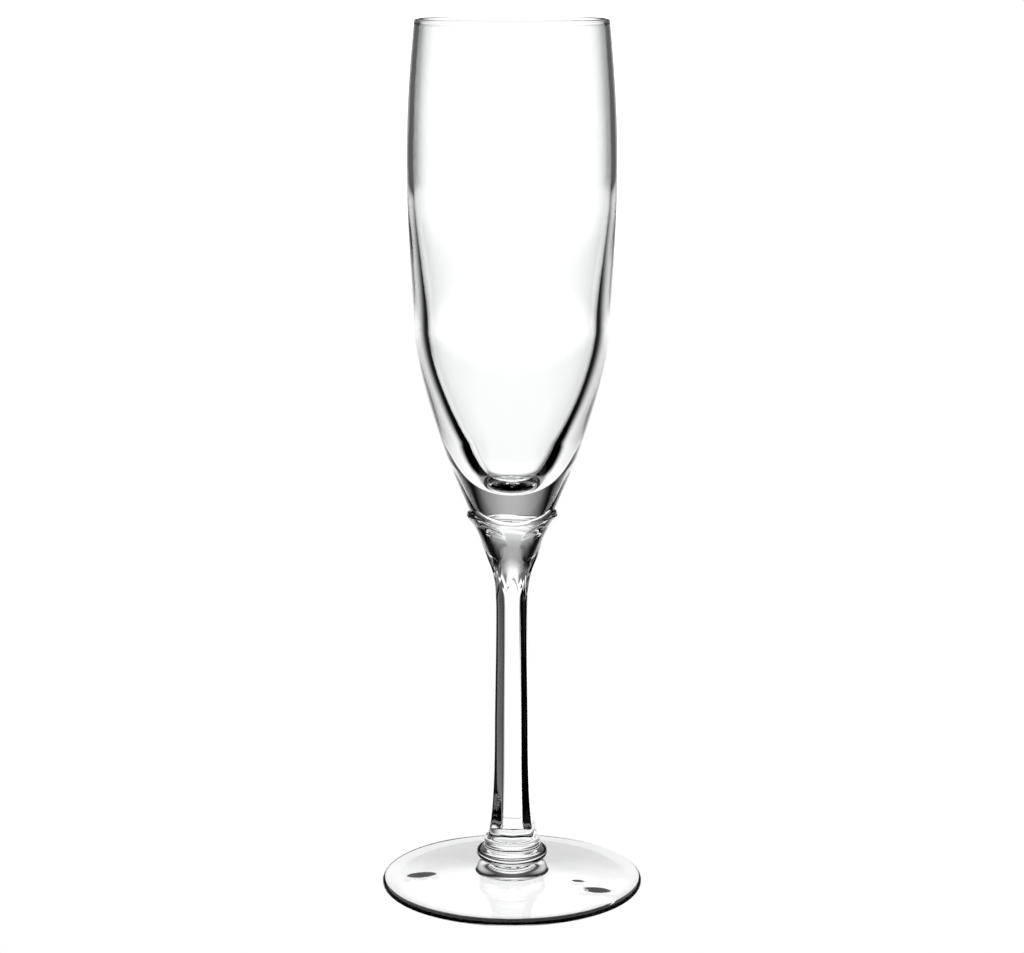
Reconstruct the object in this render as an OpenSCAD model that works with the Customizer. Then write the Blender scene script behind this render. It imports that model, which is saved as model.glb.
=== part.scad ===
// Champagne flute with a six-sided stem and a petal calyx.
// The origin is at the centre of the foot's underside, +Z up, in millimetres.

/* [Glass] */
// Height from the table to the lip
height = 222; // [210:1:234]
// Diameter over the lip
lip_d = 48.2; // [44:0.2:50]
// Largest diameter of the bowl
belly_d = 52.2; // [50:0.2:56]

/* [Bowl] */
// Wall thickness near the lip
lip_wall = 1.35; // [1:0.05:2]
// Height of the widest part of the bowl
belly_z = 184; // [178:1:190]
// Height of the bottom of the hollow
well_z = 105.6; // [104:0.2:107]

/* [Calyx] */
// Height of the petal tips
petal_tip_z = 99.2; // [98:0.2:101]
// Depth of the notches between the petals
notch_depth = 2.6; // [1:0.2:4]
// Thickness of the petals at their edge
petal_wall = 1.2; // [0.8:0.1:1.6]
// Depth of the hollow pressed into each petal
dish_depth = 1; // [0.6:0.1:1.1]

/* [Stem] */
// Width across the flats at the neck, under the calyx
neck_flats = 7.9; // [7.2:0.1:8.2]
// Width across the flats of the shank, above the flare
shank_flats = 8.7; // [8.2:0.1:9.2]
// Width across the flats of the flared base
base_flats = 12.6; // [12:0.2:13]
// Height where the shank starts to flare
flare_z = 40; // [34:1:44]
// Turn of the six sides about the axis, in degrees
facet_turn = -4; // [-30:1:30]

/* [Collar] */
// Diameter of the collar
collar_d = 18.3; // [18:0.1:20]

/* [Foot] */
// Diameter of the foot
foot_d = 67.4; // [60:0.2:72]
// Thickness of the foot at its edge
foot_edge = 1.7; // [1.4:0.1:2.4]
// Rise of the hollow under the foot
underside_rise = 1.8; // [0.6:0.1:2]

/* [Hidden] */
$fn = 96;
glass = [0.86, 0.90, 0.92, 0.45];

// Heights of the fused joints
foot_top_z = 6.4;
collar_top_z = 13.5;
calyx_base_z = 73;

// Radii that follow from the diameters
lip_r = lip_d / 2;
belly_r = belly_d / 2;
foot_r = foot_d / 2;
collar_r = collar_d / 2;
collar_seat_r = 6.6;
bead_r = lip_wall / 2 + 0.05;
curve_steps = 10;

// Cubic curve through p[0] and p[3], pulled towards p[1] and p[2]
function cubic(p, t) =
    pow(1 - t, 3) * p[0] + 3 * t * pow(1 - t, 2) * p[1]
    + 3 * t * t * (1 - t) * p[2] + pow(t, 3) * p[3];
function curve(p, steps = curve_steps) = [for (i = [0:steps]) cubic(p, i / steps)];
// The same curve without its first point, to follow another curve
function on(p, steps = curve_steps) = [for (i = [1:steps]) cubic(p, i / steps)];
// The same curve in the opposite direction
function back(points) = [for (i = [len(points) - 1:-1:0]) points[i]];

// Outside of the bowl, from the lip bead down to the bottom, as [radius, height]
bead_z = height - bead_r;
waist = [24.4, 145];
cone_top = [16.9, 114.4];
seat_top = [9.4, 95.8];
bowl_end = [0, 89];
outer_wall = curve([[lip_r, bead_z], [lip_r + 0.8, bead_z - 8],
                    [belly_r + 0.2, belly_z + 14], [belly_r, belly_z]]);
outer_side = concat(
    on([[belly_r, belly_z], [belly_r, belly_z - 14], waist + [0.55, 11], waist]),
    on([waist, waist - [0.45, 9], cone_top + [2.95, 9.6], cone_top]));
outer_cone = on([cone_top, cone_top - [2.3, 5.8], seat_top + [2.1, 5.2], seat_top], 4);
outer_base = on([seat_top, seat_top - [1.8, 4.4], bowl_end + [4.4, 0], bowl_end]);

// Inside of the bowl, from the lip bead down to the well
inner_waist = [21.2, 146];
well_side = [12.7, 118.3];
inner_wall = concat(
    curve([[lip_r - lip_wall, bead_z], [lip_r - lip_wall + 0.8, bead_z - 8],
           [belly_r - 1.4, belly_z + 14], [belly_r - 1.5, belly_z]]),
    on([[belly_r - 1.5, belly_z], [belly_r - 1.6, belly_z - 16], inner_waist + [0.4, 10], inner_waist]),
    on([inner_waist, inner_waist - [0.3, 9], well_side + [3.8, 7.2], well_side]),
    on([well_side, [9, 111], [6.5, well_z], [0, well_z]]));

module bowl_outer() {
    rotate_extrude()
        polygon(concat([[0, bead_z]], outer_wall, outer_side, outer_cone, outer_base));
}

// Blown bowl: a hollow shell with a rounded lip and a solid bottom
module bowl() {
    color(glass) {
        rotate_extrude()
            polygon(concat(outer_wall, outer_side, outer_cone, outer_base, back(inner_wall)));
        translate([0, 0, bead_z])
            rotate_extrude()
                translate([lip_r - lip_wall / 2, 0]) circle(r = bead_r, $fn = 32);
    }
}

// Outside of the calyx, from the petal tips down to the stem
calyx_tip_r = 11.6;
calyx_wrist = [7.1, 88];
neck_half = neck_flats / 2;
neck_corner = neck_half / cos(30);
calyx_outline = concat(
    curve([[calyx_tip_r, petal_tip_z - 1.2], [calyx_tip_r - 1.5, petal_tip_z - 4.4],
           calyx_wrist + [1.6, 3.6], calyx_wrist], 8),
    on([calyx_wrist, calyx_wrist - [1.6, 4], [neck_corner + 0.2, calyx_base_z + 8],
        [neck_corner + 0.1, calyx_base_z]], 8));

// Half width across two flats of the calyx, which turn into the round cup
calyx_flats = concat(
    curve([[neck_half, calyx_base_z], [neck_half + 0.2, calyx_base_z + 5],
           [neck_half + 0.5, calyx_base_z + 9], [neck_half + 2.4, calyx_base_z + 13]], 6),
    [[calyx_tip_r + 2, petal_tip_z + 1]]);

// Radius and place of the round cut that leaves one notch between two petals
notch_r = 12;
// Radius and height of the hollow pressed into each petal
dish_r = 8;
dish_z = 87;
dish_face_r = 7;

// A six-sided solid: three slabs with the same outline, crossed at 60 degrees
module six_sided(half) {
    outline = concat(half, [for (p = back(half)) [-p[0], p[1]]]);
    intersection_for(k = [0:2])
        rotate(facet_turn + 60 * k)
            rotate([90, 0, 0])
                linear_extrude(40, center = true) polygon(outline);
}

// Petal cup: six-sided below and round above, hollowed by the bowl, with notches and dishes
module calyx() {
    color(glass)
        difference() {
            intersection() {
                rotate_extrude()
                    polygon(concat([[0, petal_tip_z], [calyx_tip_r - petal_wall + 0.2, petal_tip_z]],
                                   calyx_outline, [[0, calyx_base_z]]));
                six_sided(calyx_flats);
            }
            bowl_outer();
            for (k = [0:2])
                rotate(facet_turn + 120 * k) {
                    translate([0, 0, petal_tip_z - notch_depth + notch_r])
                        rotate([90, 0, 0]) cylinder(r = notch_r, h = 20);
                    rotate(60)
                        translate([0, dish_depth - dish_face_r - dish_r, dish_z]) sphere(r = dish_r);
                }
        }
}

// Half width of the stem across two flats, from its top down into the collar
shank_half = shank_flats / 2;
base_half = base_flats / 2;
base_z = collar_top_z - 1.4;
stem_half = concat(
    curve([[neck_half, calyx_base_z], [neck_half - 0.05, calyx_base_z - 10],
           [shank_half - 0.05, flare_z + 16], [shank_half, flare_z]]),
    on([[shank_half, flare_z], [shank_half + 0.1, flare_z - 14],
        [shank_half + 0.65, flare_z - 23.5], [base_half, collar_top_z - 0.5]]),
    [[base_half, base_z]]);

// Six-sided stem: a slim shank that flares onto the collar
module stem() {
    color(glass)
        difference() {
            six_sided(stem_half);
            collar_solid();
        }
}

// Outline of the collar: a ring with a tucked-in seat, a short wall and a domed top
ring_z = foot_top_z + 2.1;
ring_top = [collar_r - 1.65, ring_z + 1.6];
wall_top = [collar_r - 1.95, collar_top_z - 1.3];
collar_outline = concat(
    [[0, foot_top_z]],
    curve([[collar_seat_r, foot_top_z], [collar_seat_r + 1.3, foot_top_z],
           [collar_r, ring_z - 1.3], [collar_r, ring_z]], 6),
    on([[collar_r, ring_z], [collar_r, ring_z + 1], ring_top + [0.9, -0.1], ring_top], 6),
    on([ring_top, ring_top + [-0.25, 0.1], wall_top - [0.1, 0.9], wall_top], 6),
    on([wall_top, wall_top + [-0.1, 0.9], [collar_r / 2, collar_top_z], [0, collar_top_z]], 6));

module collar_solid() {
    rotate_extrude() polygon(collar_outline);
}

// Collar: the round ring between the stem and the foot
module collar() {
    color(glass) collar_solid();
}

// Outline of the foot: a shallow disc with a rounded button in the middle, hollow underneath,
// on a flat ring with a rounded edge
foot_ring = 4;
edge_r = foot_edge / 2;
button_foot = [collar_seat_r + 3, foot_top_z - 2.8];
hollow_r = 8;
foot_outline = concat(
    curve([[0, underside_rise], [hollow_r, underside_rise], [2 * hollow_r, underside_rise / 2],
           [foot_r - foot_ring, 0]]),
    [[foot_r - edge_r, 0]],
    [for (a = [-75:15:90]) [foot_r - edge_r + edge_r * cos(a), edge_r + edge_r * sin(a)]],
    on([[foot_r - edge_r, foot_edge], [foot_r - 9, foot_edge + 0.7], button_foot + [4.4, -0.3], button_foot]),
    on([button_foot, button_foot + [-0.8, 1.3], [collar_seat_r + 1.8, foot_top_z - 0.2],
        [collar_seat_r, foot_top_z]], 6),
    [[0, foot_top_z]]);

// Foot: the disc that the glass stands on
module foot() {
    color(glass) rotate_extrude() polygon(foot_outline);
}

bowl();
calyx();
stem();
collar();
foot();
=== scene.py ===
import math

import bmesh
import bpy
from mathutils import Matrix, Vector
from mathutils.geometry import interpolate_bezier


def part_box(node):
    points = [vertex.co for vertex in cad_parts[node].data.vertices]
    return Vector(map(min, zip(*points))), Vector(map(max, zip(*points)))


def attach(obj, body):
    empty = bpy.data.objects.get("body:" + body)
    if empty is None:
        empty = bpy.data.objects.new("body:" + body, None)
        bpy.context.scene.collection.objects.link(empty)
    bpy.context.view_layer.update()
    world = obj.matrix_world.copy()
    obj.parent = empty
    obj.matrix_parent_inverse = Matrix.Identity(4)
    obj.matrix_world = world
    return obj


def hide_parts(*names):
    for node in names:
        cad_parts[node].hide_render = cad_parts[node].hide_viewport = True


# Champagne flute: a blown bowl, a pressed calyx, a six-sided stem, a collar and a foot, all clear glass.
# Meshes are built in millimetres around the Z axis and are scaled to metres as their last step.
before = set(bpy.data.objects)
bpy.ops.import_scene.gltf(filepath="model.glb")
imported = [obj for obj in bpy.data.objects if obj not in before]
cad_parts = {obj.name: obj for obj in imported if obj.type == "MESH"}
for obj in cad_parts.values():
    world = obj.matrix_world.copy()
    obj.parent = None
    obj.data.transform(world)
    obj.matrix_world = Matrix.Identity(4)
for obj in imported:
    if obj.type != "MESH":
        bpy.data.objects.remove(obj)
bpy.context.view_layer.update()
mm = 0.001


def nodeBox(node):
    low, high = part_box(node)
    return low / mm, high / mm


bowlHigh = nodeBox("bowl")[1]
calyxLow = nodeBox("calyx")[0]
collarHigh = nodeBox("collar")[1]
footHigh = nodeBox("foot")[1]
lipZ = bowlHigh.z
neckZ = calyxLow.z      # where the calyx meets the stem
seatZ = footHigh.z      # where the collar sits on the foot
domeZ = collarHigh.z    # top of the collar's dome

roundSteps = 240        # of every round piece but the bowl, which has its own
hair = 0.001            # heights closer than this are the same
onAxis = 0.01           # and points closer to the axis than this lie on it

# the six flat sides, which the calyx and the stem share
facets = {
    "turn": -4,         # of one ridge from the front, in degrees
    "crispness": 16,    # of the ridges: 8 is soft, 40 is sharp
}


def bend(start, first, second, end, steps):
    # a cubic from start to end, as [radius, height] points
    return interpolate_bezier(Vector(start), Vector(first), Vector(second), Vector(end), steps + 1)


def joined(*runs):
    # runs of points in one line, without the points that two runs share
    line = list(runs[0])
    for run in runs[1:]:
        line += run[1:]
    return line


def radiusAt(outline, z):
    # radius of an outline at height z, or at its nearer end where it doesn't reach that height
    for a, b in zip(outline, outline[1:]):
        if min(a.y, b.y) <= z <= max(a.y, b.y) and a.y != b.y:
            return a.x + (b.x - a.x) * (z - a.y) / (b.y - a.y)
    return outline[0].x if abs(z - outline[0].y) < abs(z - outline[-1].y) else outline[-1].x


def fade(value, low, high):
    # 0 below low, 1 above high, with a soft start and end
    t = min(1, max(0, (value - low) / (high - low)))
    return t * t * (3 - 2 * t)


def spinOutline(outline, steps):
    # turns an outline about the axis and merges the points that land on it
    bm = bmesh.new()
    verts = [bm.verts.new((p.x, 0, p.y)) for p in outline]
    edges = [bm.edges.new(pair) for pair in zip(verts, verts[1:])]
    bmesh.ops.spin(bm, geom=verts + edges, cent=(0, 0, 0), axis=(0, 0, 1),
                   angle=2 * math.pi, steps=steps, use_merge=True)
    bmesh.ops.remove_doubles(bm, verts=bm.verts, dist=0.0005)
    return bm


def closeEnds(bm):
    # fills the rings that are still open with fans of triangles round a middle point
    loops = [e for e in bm.edges if e.is_boundary]
    made = bmesh.ops.holes_fill(bm, edges=loops, sides=0)
    bmesh.ops.poke(bm, faces=made["faces"])


def pushOut(co, radius):
    # moves a point straight away from the axis, or towards it, to this radius
    growth = radius / co.xy.length
    co.x *= growth
    co.y *= growth


def finishPiece(bm, name, glass, nodes, isFused):
    # faces of a fused joint get the joint's material, which light crosses without bending
    bmesh.ops.recalc_face_normals(bm, faces=bm.faces)
    for face in bm.faces:
        face.smooth = True
        if isFused(face.calc_center_median()):
            face.material_index = 1
    for edge in bm.edges:
        # a fused face is not shaded together with the glass round it
        if len({face.material_index for face in edge.link_faces}) > 1:
            edge.smooth = False
    bmesh.ops.scale(bm, vec=(mm, mm, mm), verts=bm.verts)
    mesh = bpy.data.meshes.new(name)
    bm.to_mesh(mesh)
    bm.free()
    mesh.materials.append(glass)
    mesh.materials.append(joint)
    piece = bpy.data.objects.new(name, mesh)
    bpy.context.scene.collection.objects.link(piece)
    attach(piece, "root")
    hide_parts(*nodes)
    print(name, len(mesh.polygons), "faces")


def sixSided(angle):
    # radius of a six-sided section whose flats lie at 1, with slightly rounded ridges, by turn in radians
    turn = math.radians(facets["turn"])
    reach = sum(abs(math.cos(angle - turn - k * math.pi / 3)) ** facets["crispness"] for k in range(3))
    return reach ** (-1 / facets["crispness"])


def sideAngle(co):
    # turn about the axis in radians, for sixSided
    return math.atan2(co.y, co.x)


def frontAngle(co):
    # turn about the axis in degrees: 0 at the front, 90 at the right
    return math.degrees(math.atan2(co.x, -co.y))


# how hot working left each glass: waves per metre and their height in metres
ripples = {
    "blown_glass": (45, 0.00012),
    "pressed_glass": (90, 0.00004),
    "foot_glass": (60, 0.00008),
}


def makeGlassRipple():
    # the slow waves and the slight change of tint, for all three glasses
    group = bpy.data.node_groups.new("glassRipple", "ShaderNodeTree")
    wanted = (("Vector", "NodeSocketVector"), ("Scale", "NodeSocketFloat"), ("Height", "NodeSocketFloat"))
    for label, kind in wanted:
        group.interface.new_socket(label, in_out="INPUT", socket_type=kind)
    for label, kind in (("Tint", "NodeSocketColor"), ("Normal", "NodeSocketVector")):
        group.interface.new_socket(label, in_out="OUTPUT", socket_type=kind)
    nodes = group.nodes
    links = group.links
    given = nodes.new("NodeGroupInput")
    result = nodes.new("NodeGroupOutput")
    waves = nodes.new("ShaderNodeTexNoise")
    waves.inputs["Detail"].default_value = 1
    links.new(given.outputs["Vector"], waves.inputs["Vector"])
    links.new(given.outputs["Scale"], waves.inputs["Scale"])
    bump = nodes.new("ShaderNodeBump")
    bump.inputs["Strength"].default_value = 1
    links.new(given.outputs["Height"], bump.inputs["Distance"])
    links.new(waves.outputs["Fac"], bump.inputs["Height"])
    links.new(bump.outputs["Normal"], result.inputs["Normal"])
    tint = nodes.new("ShaderNodeValToRGB")
    tint.color_ramp.elements[0].color = (0.98, 0.992, 0.988, 1)
    tint.color_ramp.elements[1].color = (0.99, 0.993, 0.992, 1)
    links.new(waves.outputs["Fac"], tint.inputs["Fac"])
    links.new(tint.outputs["Color"], result.inputs["Tint"])
    return group


glassRipple = makeGlassRipple()


def clearGlass(name):
    scale, height = ripples[name]
    material = bpy.data.materials.new(name)
    material.use_nodes = True
    nodes = material.node_tree.nodes
    links = material.node_tree.links
    glass = nodes["Principled BSDF"]
    glass.inputs["Roughness"].default_value = 0
    glass.inputs["IOR"].default_value = 1.5
    glass.inputs["Transmission Weight"].default_value = 1
    place = nodes.new("ShaderNodeTexCoord")
    ripple = nodes.new("ShaderNodeGroup")
    ripple.node_tree = glassRipple
    ripple.inputs["Scale"].default_value = scale
    ripple.inputs["Height"].default_value = height
    links.new(place.outputs["Object"], ripple.inputs["Vector"])
    links.new(ripple.outputs["Tint"], glass.inputs["Base Color"])
    links.new(ripple.outputs["Normal"], glass.inputs["Normal"])
    return material


def fusedJoint():
    # pieces are melted together here, so light goes straight on
    material = bpy.data.materials.new("fused_joint")
    material.use_nodes = True
    nodes = material.node_tree.nodes
    nodes.clear()
    through = nodes.new("ShaderNodeBsdfTransparent")
    output = nodes.new("ShaderNodeOutputMaterial")
    material.node_tree.links.new(through.outputs["BSDF"], output.inputs["Surface"])
    return material


blownGlass = clearGlass("blown_glass")
pressedGlass = clearGlass("pressed_glass")
footGlass = clearGlass("foot_glass")
joint = fusedJoint()
print("three glasses and the fused joint")

bowlShape = {
    "lipRadius": 24.1,
    "lipWall": 1.35,
    "bellyZ": 184,          # the widest height
    "bellyWall": 1.5,
    "wellZ": 105.6,         # the bottom of the hollow
    "bottomZ": 89,          # the solid bottom, inside the calyx
    "steps": 192,
}

bellyRadius = bowlHigh.x
bellyZ = bowlShape["bellyZ"]
bellyInside = bellyRadius - bowlShape["bellyWall"]
wellZ = bowlShape["wellZ"]
bottomZ = bowlShape["bottomZ"]
lipRadius = bowlShape["lipRadius"]
lipInside = lipRadius - bowlShape["lipWall"]
beadRadius = bowlShape["lipWall"] / 2 + 0.05        # the lip is a bead a little thicker than the wall
beadMiddle = (lipRadius + lipInside) / 2
beadZ = lipZ - beadRadius

# from the lip down: the belly, the waist, the flank and the seat in the calyx
waist = (24.4, 145)
flank = (16.9, 114.4)
seatTop = (9.4, 95.8)
bowlOutside = joined(
    bend((lipRadius, beadZ), (lipRadius + 0.8, beadZ - 8), (bellyRadius + 0.2, bellyZ + 14),
         (bellyRadius, bellyZ), 24),
    bend((bellyRadius, bellyZ), (bellyRadius, bellyZ - 14), (24.95, 156), waist, 26),
    bend(waist, (23.95, 136), (20.15, 124), flank, 30),
    bend(flank, (14.93, 108.6), (11.5, 101), seatTop, 36),
    bend(seatTop, (7.6, 91.4), (4.4, bottomZ), (0, bottomZ), 20))

# from the bottom of the hollow up
wellSide = (12.7, 118.3)
waistInside = (21.2, 146)
bowlInside = joined(
    bend((0, wellZ), (6.5, wellZ), (9, 111), wellSide, 40),
    bend(wellSide, (16.5, 125.5), (20.9, 137), waistInside, 30),
    bend(waistInside, (21.6, 156), (bellyInside - 0.1, bellyZ - 16), (bellyInside, bellyZ), 26),
    bend((bellyInside, bellyZ), (bellyInside + 0.1, bellyZ + 14), (lipInside + 0.8, beadZ - 8),
         (lipInside, beadZ), 24))

petals = {
    "lean": 7,              # how far the petals lean round towards their tips, in degrees
    "leanFrom": 78,
    "leanTo": 95,
    "tipZ": 100.4,
    "notchDepth": 2.4,
    "notchShape": 1.3,      # 1 is pointed, 2 is wide and round
    "leafFoot": 75.5,       # the pressed leaf: its pointed foot, its widest height and its tip
    "leafWide": 92.2,
    "leafTip": 98.4,
    "leafSpan": 49,         # half its width, in degrees
    "leafDepth": 0.95,
    "leafCrisp": 4,         # 2 is a soft bowl, more has a flatter floor and a crisper edge
    "foldWide": 87.5,       # the fold in the leaf, from the same foot
    "foldTip": 96.4,
    "foldDepth": 0.3,
    "foldCrisp": 2,
    "taper": 0.75,          # of both ends: less is blunter
    "shallowing": 0.6,      # of the depth towards both ends
}


def edgeHeight(angle):
    # height of the calyx edge on the bowl, by turn from the front in degrees: three petals round
    swing = abs(math.cos(math.radians(1.5 * (angle - facets["turn"] - petals["lean"]))))
    return petals["tipZ"] - petals["notchDepth"] * swing ** petals["notchShape"]


# Near the calyx edge the rings of the bowl slide up or down it, so that the ring at restZ lies on the edge.
# Below seatTop and above slideTop they stay level.
restZ = 99
slideTop = 104


def followEdge(z, angle):
    edge = edgeHeight(angle)
    if restZ < z < slideTop:
        return edge + (z - restZ) * (slideTop - edge) / (slideTop - restZ)
    if seatTop[1] < z <= restZ:
        return seatTop[1] + (z - seatTop[1]) * (edge - seatTop[1]) / (restZ - seatTop[1])
    return z


def slideRing(co):
    # a point of the bowl's outside, or of the calyx against it
    co.z = followEdge(co.z, frontAngle(co))
    if co.z > seatTop[1]:
        pushOut(co, radiusAt(bowlOutside, co.z))


def makeBowl():
    beadSteps = 13
    bead = [Vector((beadMiddle - beadRadius * math.cos(a), beadZ + beadRadius * math.sin(a)))
            for a in [math.pi * i / beadSteps for i in range(1, beadSteps)]]
    outside = list(bowlOutside)
    nearest = min((p for p in outside if p.x >= seatTop[0]), key=lambda p: abs(p.y - restZ))
    outside[outside.index(nearest)] = Vector((radiusAt(bowlOutside, restZ), restZ))
    bm = spinOutline(bowlInside + bead + outside, bowlShape["steps"])
    for vert in bm.verts:
        radius = vert.co.xy.length
        if radius < onAxis or vert.co.z >= slideTop:
            continue
        if abs(radius - radiusAt(bowlOutside, vert.co.z)) < 0.05:
            slideRing(vert.co)
    finishPiece(bm, "bowl_blown", blownGlass, ["bowl"],
                lambda c: c.z < edgeHeight(frontAngle(c)))


makeBowl()

# the stem's flats, from its flared foot up to the neck under the calyx
stemBottom = 13
stemFoot = (6.3, stemBottom)
shank = (4.35, 40)
neck = (3.95, neckZ)
stemFlats = joined(
    bend(stemFoot, (5, 16.5), (4.45, 26), shank, 60),
    bend(shank, (4.32, 50), (neck[0], 62), neck, 50))

# the calyx's ridges, from its edge down to the neck
ridgeReach = sixSided(math.radians(facets["turn"] - 90))     # from the axis to a ridge, where a flat is at 1
neckRidge = neck[0] * ridgeReach
flareTop = (11.6, 98)
flareFoot = (7.1, 88)
calyxRim = [Vector((11.42, 98.9)), Vector((11.1, 99.15))]
calyxOutside = joined(
    bend(flareTop, (10.1, 94.8), (8.7, 91.6), flareFoot, 44),
    bend(flareFoot, (5.33, 84), (neckRidge + 0.02, 81), (neckRidge, neckZ), 60))
sixSidedTo = 77         # the calyx is six-sided up to here
roundFrom = 90          # and round from here up
bentFrom = 86           # above here it follows its own notched edge


def leafDent(z, aside, wide, tip, span, depth, crisp):
    # depth of one pressed leaf, which is pointed at its foot and at its tip
    foot = petals["leafFoot"]
    if not foot < z < tip:
        return 0
    up = (z - foot) / (tip - foot)
    widest = (wide - foot) / (tip - foot)
    taper = petals["taper"]
    fullness = (up / widest) ** (taper * widest / (1 - widest)) * ((1 - up) / (1 - widest)) ** taper
    across = abs(aside) / (span * fullness)
    return depth * fullness ** petals["shallowing"] * (1 - across ** crisp) if across < 1 else 0


def petalDent(z, angle):
    # the leaf and its fold together, in the nearest of the three petals
    centre = facets["turn"] + 60 + petals["lean"] * fade(z, petals["leanFrom"], petals["leanTo"])
    aside = (angle - centre + 60) % 120 - 60
    leaf = leafDent(z, aside, petals["leafWide"], petals["leafTip"],
                    petals["leafSpan"], petals["leafDepth"], petals["leafCrisp"])
    narrowing = (petals["foldWide"] - petals["leafFoot"]) / (petals["leafWide"] - petals["leafFoot"])
    fold = leafDent(z, aside, petals["foldWide"], petals["foldTip"],
                    petals["leafSpan"] * narrowing ** 1.15, petals["foldDepth"], petals["foldCrisp"])
    return leaf + fold


def isInSeat(co, margin):
    # whether a point lies on the calyx's seat for the bowl
    return co.z > bottomZ - 0.1 and co.xy.length < radiusAt(bowlOutside, co.z) + margin


def makeCalyx():
    seat = [Vector((radiusAt(bowlOutside, restZ), restZ))] + [p for p in bowlOutside if p.y < restZ - 0.01]
    bm = spinOutline(calyxOutside[::-1] + calyxRim + seat, roundSteps)
    closeEnds(bm)
    for vert in bm.verts:
        co = vert.co
        radius = co.xy.length
        if radius < onAxis:
            continue
        if isInSeat(co, 0.05):
            slideRing(co)
            continue
        angle = frontAngle(co)
        co.z -= (restZ + 0.1 - edgeHeight(angle)) * fade(co.z, bentFrom, restZ)
        sides = sixSided(sideAngle(co)) / ridgeReach
        sides += (1 - sides) * fade(co.z, sixSidedTo, roundFrom)
        outside = radiusAt(calyxOutside, co.z) if co.z < flareTop[1] else radius
        pushOut(co, outside * sides - petalDent(co.z, angle))
    finishPiece(bm, "calyx_pressed", pressedGlass, ["calyx"],
                lambda c: c.z < neckZ + hair or isInSeat(c, 0.03))


makeCalyx()

# the stem stands on the collar's dome, so the collar's outline comes before both of them
collarShape = {
    "seat": 6.6,        # radius where it sits on the foot
    "rise": 2.1,        # height of its widest ring above the foot
    "wall": 7.5,        # radius of the short wall above the ring
    "wallTop": 1.3,     # how far the wall stays below the top of the dome
}

ringRadius = collarHigh.x
seatRadius = collarShape["seat"]
ringZ = seatZ + collarShape["rise"]
ringTop = Vector((collarShape["wall"], ringZ + 1.6))
shoulder = Vector((ringTop.x - 0.3, domeZ - collarShape["wallTop"]))
collarOutside = joined(
    bend((seatRadius, seatZ), (seatRadius + 1.3, seatZ), (ringRadius, ringZ - 1.3), (ringRadius, ringZ), 16),
    bend((ringRadius, ringZ), (ringRadius, ringZ + 1), ringTop + Vector((0.9, -0.1)), ringTop, 16),
    bend(ringTop, ringTop + Vector((-0.25, 0.1)), shoulder - Vector((0.1, 0.9)), shoulder, 12))
dome = bend(shoulder, shoulder + Vector((-0.1, 0.9)), (ringRadius / 2, domeZ), (0, domeZ), 48)


def domeHeight(radius):
    # height of the dome at this radius
    for a, b in zip(dome, dome[1:]):
        if b.x <= radius <= a.x:
            return a.y + (b.y - a.y) * (radius - a.x) / (b.x - a.x)
    return shoulder.y


def stemReach(angle):
    # radius where the stem's side meets the dome, by turn in radians
    return min(stemFoot[0] * sixSided(angle), shoulder.x)


def makeStem():
    bm = spinOutline(stemFlats, roundSteps)
    closeEnds(bm)
    for vert in bm.verts:
        co = vert.co
        flats = co.xy.length
        isFoot = co.z < stemBottom + 0.01
        if flats < onAxis:
            co.z = domeZ if isFoot else neckZ
        elif isFoot:
            pushOut(co, stemReach(sideAngle(co)))
            co.z = domeHeight(co.xy.length)
        else:
            pushOut(co, flats * sixSided(sideAngle(co)))
    fanReach = stemFoot[0] * 0.8     # the middles of the triangles that close its foot lie inside this
    finishPiece(bm, "stem_pressed", pressedGlass, ["stem"],
                lambda c: c.z > neckZ - hair or c.z < domeZ + 0.01 and c.xy.length < fanReach)


makeStem()


def makeCollar():
    # the dome's rings slide in or out so that one of them follows the stem's six sides
    meeting = min((p.x for p in dome), key=lambda x: abs(x - stemFoot[0]))
    bm = spinOutline([Vector((0, seatZ))] + joined(collarOutside, dome)[1:], roundSteps)
    for vert in bm.verts:
        co = vert.co
        radius = co.xy.length
        if radius < onAxis or co.z < shoulder.y + hair:
            continue
        reach = stemReach(sideAngle(co))
        if radius > meeting:
            pushOut(co, reach + (radius - meeting) * (shoulder.x - reach) / (shoulder.x - meeting))
        else:
            pushOut(co, radius * reach / meeting)
        co.z = domeHeight(co.xy.length)
    # only the top is fused: the underside keeps its own glass surface
    finishPiece(bm, "collar_ring", pressedGlass, ["collar"],
                lambda c: c.z > shoulder.y and c.xy.length < stemReach(sideAngle(c)))


makeCollar()

footShape = {
    "edge": 1.9,        # thickness of the rounded edge
    "rise": 1.8,        # of the hollow underneath
    "ring": 4,          # width of the flat ring it stands on
    "button": 3,        # how far the button under the collar reaches past its seat
    "buttonRise": 2.9,
    # soft dents left in the top by the spinning tool: place, reach and depth
    "dents": ((-23.5, -3.2, 5.5, 0.5), (21.5, -14.6, 6, 0.5), (17, -8.4, 3, 0.2)),
    "dentStretch": 1.6,     # how much longer they are from side to side
}


def pressDents(co):
    for x, y, reach, depth in footShape["dents"]:
        away = math.hypot(co.x - x, (co.y - y) * footShape["dentStretch"]) / reach
        if away < 1:
            co.z -= depth * (1 - away ** 2) ** 2


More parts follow.
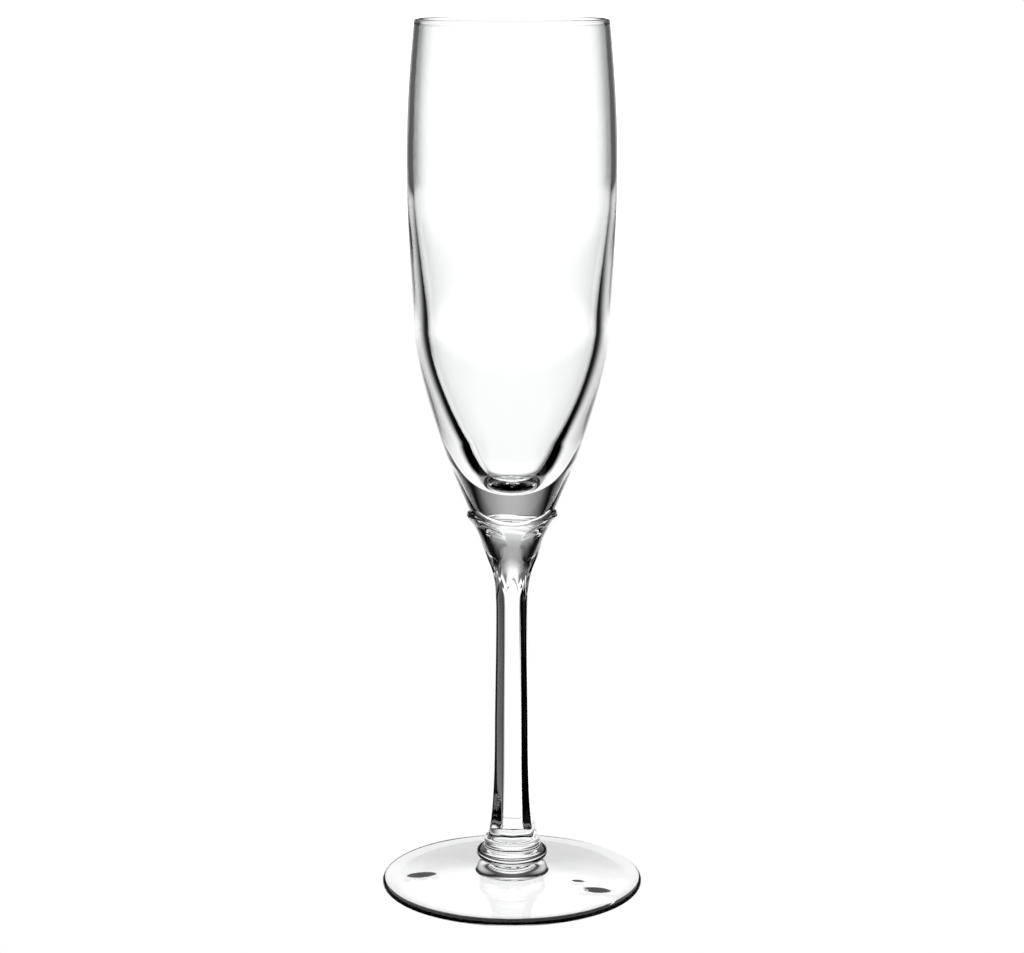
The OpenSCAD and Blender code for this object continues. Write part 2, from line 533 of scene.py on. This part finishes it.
def makeFoot():
    footRadius = footHigh.x
    edge = footShape["edge"] / 2
    rise = footShape["rise"]
    rim = [Vector((footRadius - edge + edge * math.cos(a), edge + edge * math.sin(a)))
           for a in [math.radians(10 * i) for i in range(-9, 10)]]
    hollow = bend((0, rise), (8, rise), (16, rise / 2), (footRadius - footShape["ring"], 0), 40)
    button = Vector((seatRadius + footShape["button"], seatZ - footShape["buttonRise"]))
    top = bend(rim[-1], (footRadius - 9, 2.45), (button.x + 3.6, button.y - 0.25), button, 80)
    boss = bend(button, (button.x - 0.7, button.y + 0.04), (button.x - 0.1, seatZ - 0.3),
                (seatRadius, seatZ), 40)
    bm = spinOutline(hollow + joined(rim, top, boss), roundSteps)
    closeEnds(bm)
    for vert in bm.verts:
        isOnTop = vert.co.z > footShape["edge"]
        if isOnTop and button.x + 0.5 < vert.co.xy.length < footRadius - 1.5:
            pressDents(vert.co)
    finishPiece(bm, "foot_disc", footGlass, ["foot"], lambda c: c.z > seatZ - hair)


makeFoot()

studio = {
    "glow": 1.38,       # of the lit window at its brightest
    # the lit window behind the glass, by elevation from below to above: half widths in degrees where
    # it starts to fade and where it ends, its brightness, and that of the wall beside it
    "window": (
        (-70, 5, 20, 0.2, 0),
        (-52, 8, 28, 0.3, 0),
        (-43, 14, 34, 0.85, 0),
        (-34, 18, 40, 0.9, 0.005),
        (-26, 19, 43, 0.82, 0.01),
        (-13, 19, 43, 0.82, 0.015),
        (-9, 19, 43, 1, 0.02),
        (-6, 5, 23, 1, 0.12),
        (0, 4, 22, 1, 0.14),
        (5, 4, 30, 0.75, 0.1),
        (10, 3, 34, 0.5, 0.02),
        (14, 2, 34, 0.33, 0.005),
        (19, 4, 36, 0.5, 0.005),
        (26, 8, 40, 0.8, 0.01),
        (50, 8, 40, 0.5, 0.01),
    ),
    # panels that light only what is seen straight through the glass: turn from straight behind, half widths
    # where the glow starts to fade and where it ends, elevations where it starts, where it is full, up to
    # where it stays full and where it ends, and brightness; the last one is the floor under a steep view
    "panels": (
        (-78, 12, 26, -40, -30, 7, 14, 0.6),
        (80, 16, 44, -40, -32, -8, -4, 0.32),
        (135, 16, 28, -75, -60, 2, 14, 1),
        (-45, 18, 28, -75, -60, -18, -13, 1),
        (-96, 12, 17, -40, -30, 7, 14, 1),
        (0, 180, 185, -95, -92, -70, -62, 1),
    ),
    # what only mirrored light sees: a dark band from just above the horizon, then the bright ceiling;
    # elevations where the band starts and is full, and where the ceiling starts and is full
    "band": (4, 9),
    "bandDepth": 0.85,
    "ceiling": (13, 25),
    "ceilingGlow": 0.75,
    # light mirrored this many times inside the glass starts to go dark, and is dark
    "lost": (2.1, 2.9),
}


def softStep(tree, value, low, high):
    # 0 at low, 1 at high, whichever of them is greater
    step = tree.nodes.new("ShaderNodeMapRange")
    step.interpolation_type = "SMOOTHSTEP"
    step.inputs["From Min"].default_value = min(low, high)
    step.inputs["From Max"].default_value = max(low, high)
    step.inputs["To Min"].default_value = 1 if low > high else 0
    step.inputs["To Max"].default_value = 0 if low > high else 1
    tree.links.new(value, step.inputs["Value"])
    return step.outputs["Result"]


def combine(tree, operation, first, second=0, third=0):
    # a Math node, each of whose values is a socket or a number
    made = tree.nodes.new("ShaderNodeMath")
    made.operation = operation
    for socket, value in zip(made.inputs, (first, second, third)):
        if isinstance(value, (int, float)):
            socket.default_value = value
        else:
            tree.links.new(value, socket)
    return made.outputs["Value"]


def makeWindow(tree, aside, height):
    # the ramp runs from straight down to straight up, and holds the window's half widths, its brightness
    # and the wall's as its four channels
    ramp = tree.nodes.new("ShaderNodeValToRGB")
    ramp.color_ramp.interpolation = "EASE"
    tree.links.new(combine(tree, "MULTIPLY_ADD", height, 1 / 180, 0.5), ramp.inputs["Fac"])
    stops = ramp.color_ramp.elements
    while len(stops) < len(studio["window"]):
        stops.new(1)
    for stop, (elevation, full, end, bright, wall) in zip(stops, studio["window"]):
        stop.position = 0.5 + elevation / 180
        stop.color = (full / 90, end / 90, bright, wall)
    channels = tree.nodes.new("ShaderNodeSeparateColor")
    tree.links.new(ramp.outputs["Color"], channels.inputs["Color"])
    glow = combine(tree, "MULTIPLY", channels.outputs["Blue"], studio["glow"])
    window = tree.nodes.new("ShaderNodeMapRange")
    window.interpolation_type = "SMOOTHSTEP"
    tree.links.new(combine(tree, "ABSOLUTE", aside), window.inputs["Value"])
    tree.links.new(combine(tree, "MULTIPLY", channels.outputs["Red"], 90), window.inputs["From Min"])
    tree.links.new(combine(tree, "MULTIPLY", channels.outputs["Green"], 90), window.inputs["From Max"])
    tree.links.new(glow, window.inputs["To Min"])
    tree.links.new(ramp.outputs["Alpha"], window.inputs["To Max"])
    return window.outputs["Result"]


def makePanel(tree, aside, height, panel):
    turn, full, end, startBelow, fullBelow, fullAbove, endAbove, bright = panel
    turned = combine(tree, "WRAP", combine(tree, "SUBTRACT", aside, turn), 180, -180)
    across = softStep(tree, combine(tree, "ABSOLUTE", turned), end, full)
    upright = combine(tree, "MULTIPLY", softStep(tree, height, startBelow, fullBelow),
                      softStep(tree, height, endAbove, fullAbove))
    lit = combine(tree, "MULTIPLY", across, upright)
    return combine(tree, "MULTIPLY", lit, studio["glow"] * bright)


def makeWorld():
    world = bpy.data.worlds.new("studio")
    bpy.context.scene.world = world
    world.use_nodes = True
    tree = world.node_tree
    place = tree.nodes.new("ShaderNodeTexCoord")
    split = tree.nodes.new("ShaderNodeSeparateXYZ")
    tree.links.new(place.outputs["Generated"], split.inputs["Vector"])
    turn = combine(tree, "ARCTAN2", split.outputs["X"], split.outputs["Y"])
    aside = combine(tree, "DEGREES", turn)
    height = combine(tree, "DEGREES", combine(tree, "ARCSINE", split.outputs["Z"]))
    level = makeWindow(tree, aside, height)

    rays = tree.nodes.new("ShaderNodeLightPath")
    mirrored = softStep(tree, rays.outputs["Glossy Depth"], 0.1, 0.9)
    direct = combine(tree, "SUBTRACT", 1, mirrored)
    for panel in studio["panels"]:
        glow = combine(tree, "MULTIPLY", makePanel(tree, aside, height, panel), direct)
        level = combine(tree, "MAXIMUM", level, glow)

    band = combine(tree, "MULTIPLY", softStep(tree, height, *studio["band"]), mirrored)
    dimmed = combine(tree, "MULTIPLY", band, studio["bandDepth"])
    level = combine(tree, "MULTIPLY", level, combine(tree, "SUBTRACT", 1, dimmed))
    ceiling = combine(tree, "MULTIPLY", softStep(tree, height, *studio["ceiling"]), mirrored)
    glow = combine(tree, "MULTIPLY", ceiling, studio["glow"] * studio["ceilingGlow"])
    level = combine(tree, "MAXIMUM", level, glow)

    lost = softStep(tree, rays.outputs["Glossy Depth"], *studio["lost"])
    level = combine(tree, "MULTIPLY", level, combine(tree, "SUBTRACT", 1, lost))
    seen = combine(tree, "MAXIMUM", level, rays.outputs["Is Camera Ray"])     # the backdrop is white
    background = tree.nodes["Background"]
    background.inputs["Color"].default_value = (1, 1, 1, 1)
    tree.links.new(seen, background.inputs["Strength"])
    print("studio light:", len(studio["panels"]), "panels")


makeWorld()


def makeFloor():
    # the pale floor is what the camera sees; the glass sees the studio through it
    floorRadius = 1.5
    gap = 0.0002        # so that it doesn't touch the ring that the foot stands on
    bm = bmesh.new()
    bmesh.ops.create_circle(bm, cap_ends=True, segments=96, radius=floorRadius)
    bmesh.ops.translate(bm, vec=(0, 0, -gap), verts=bm.verts)
    mesh = bpy.data.meshes.new("floor")
    bm.to_mesh(mesh)
    bm.free()
    floor = bpy.data.objects.new("floor", mesh)
    bpy.context.scene.collection.objects.link(floor)
    floor.visible_transmission = False
    floor.visible_glossy = False
    floor.visible_diffuse = False
    material = bpy.data.materials.new("pale_floor")
    material.use_nodes = True
    nodes = material.node_tree.nodes
    nodes.remove(nodes["Principled BSDF"])
    shine = nodes.new("ShaderNodeEmission")
    material.node_tree.links.new(shine.outputs["Emission"], nodes["Material Output"].inputs["Surface"])
    mesh.materials.append(material)
    print("floor")


makeFloor()

view = {
    "lens": 94.6,
    "distance": 0.6687,     # in front of the glass, in metres
    "height": 0.2381,
    "pitch": 11.04,         # looking down, in degrees
}


def makeCamera():
    data = bpy.data.cameras.new("camera")
    data.lens = view["lens"]
    data.sensor_width = 36
    data.clip_end = 50
    camera = bpy.data.objects.new("camera", data)
    bpy.context.scene.collection.objects.link(camera)
    camera.location = (0, -view["distance"], view["height"])
    camera.rotation_euler = (math.radians(90 - view["pitch"]), 0, 0)
    bpy.context.scene.camera = camera
    print("camera")


makeCamera()

scene = bpy.context.scene
scene.view_settings.view_transform = "Standard"
# how often light may bend or be mirrored in the glass before it is given up
scene.cycles.max_bounces = 16
scene.cycles.transmission_bounces = 16
scene.cycles.glossy_bounces = 12
scene.cycles.transparent_max_bounces = 32
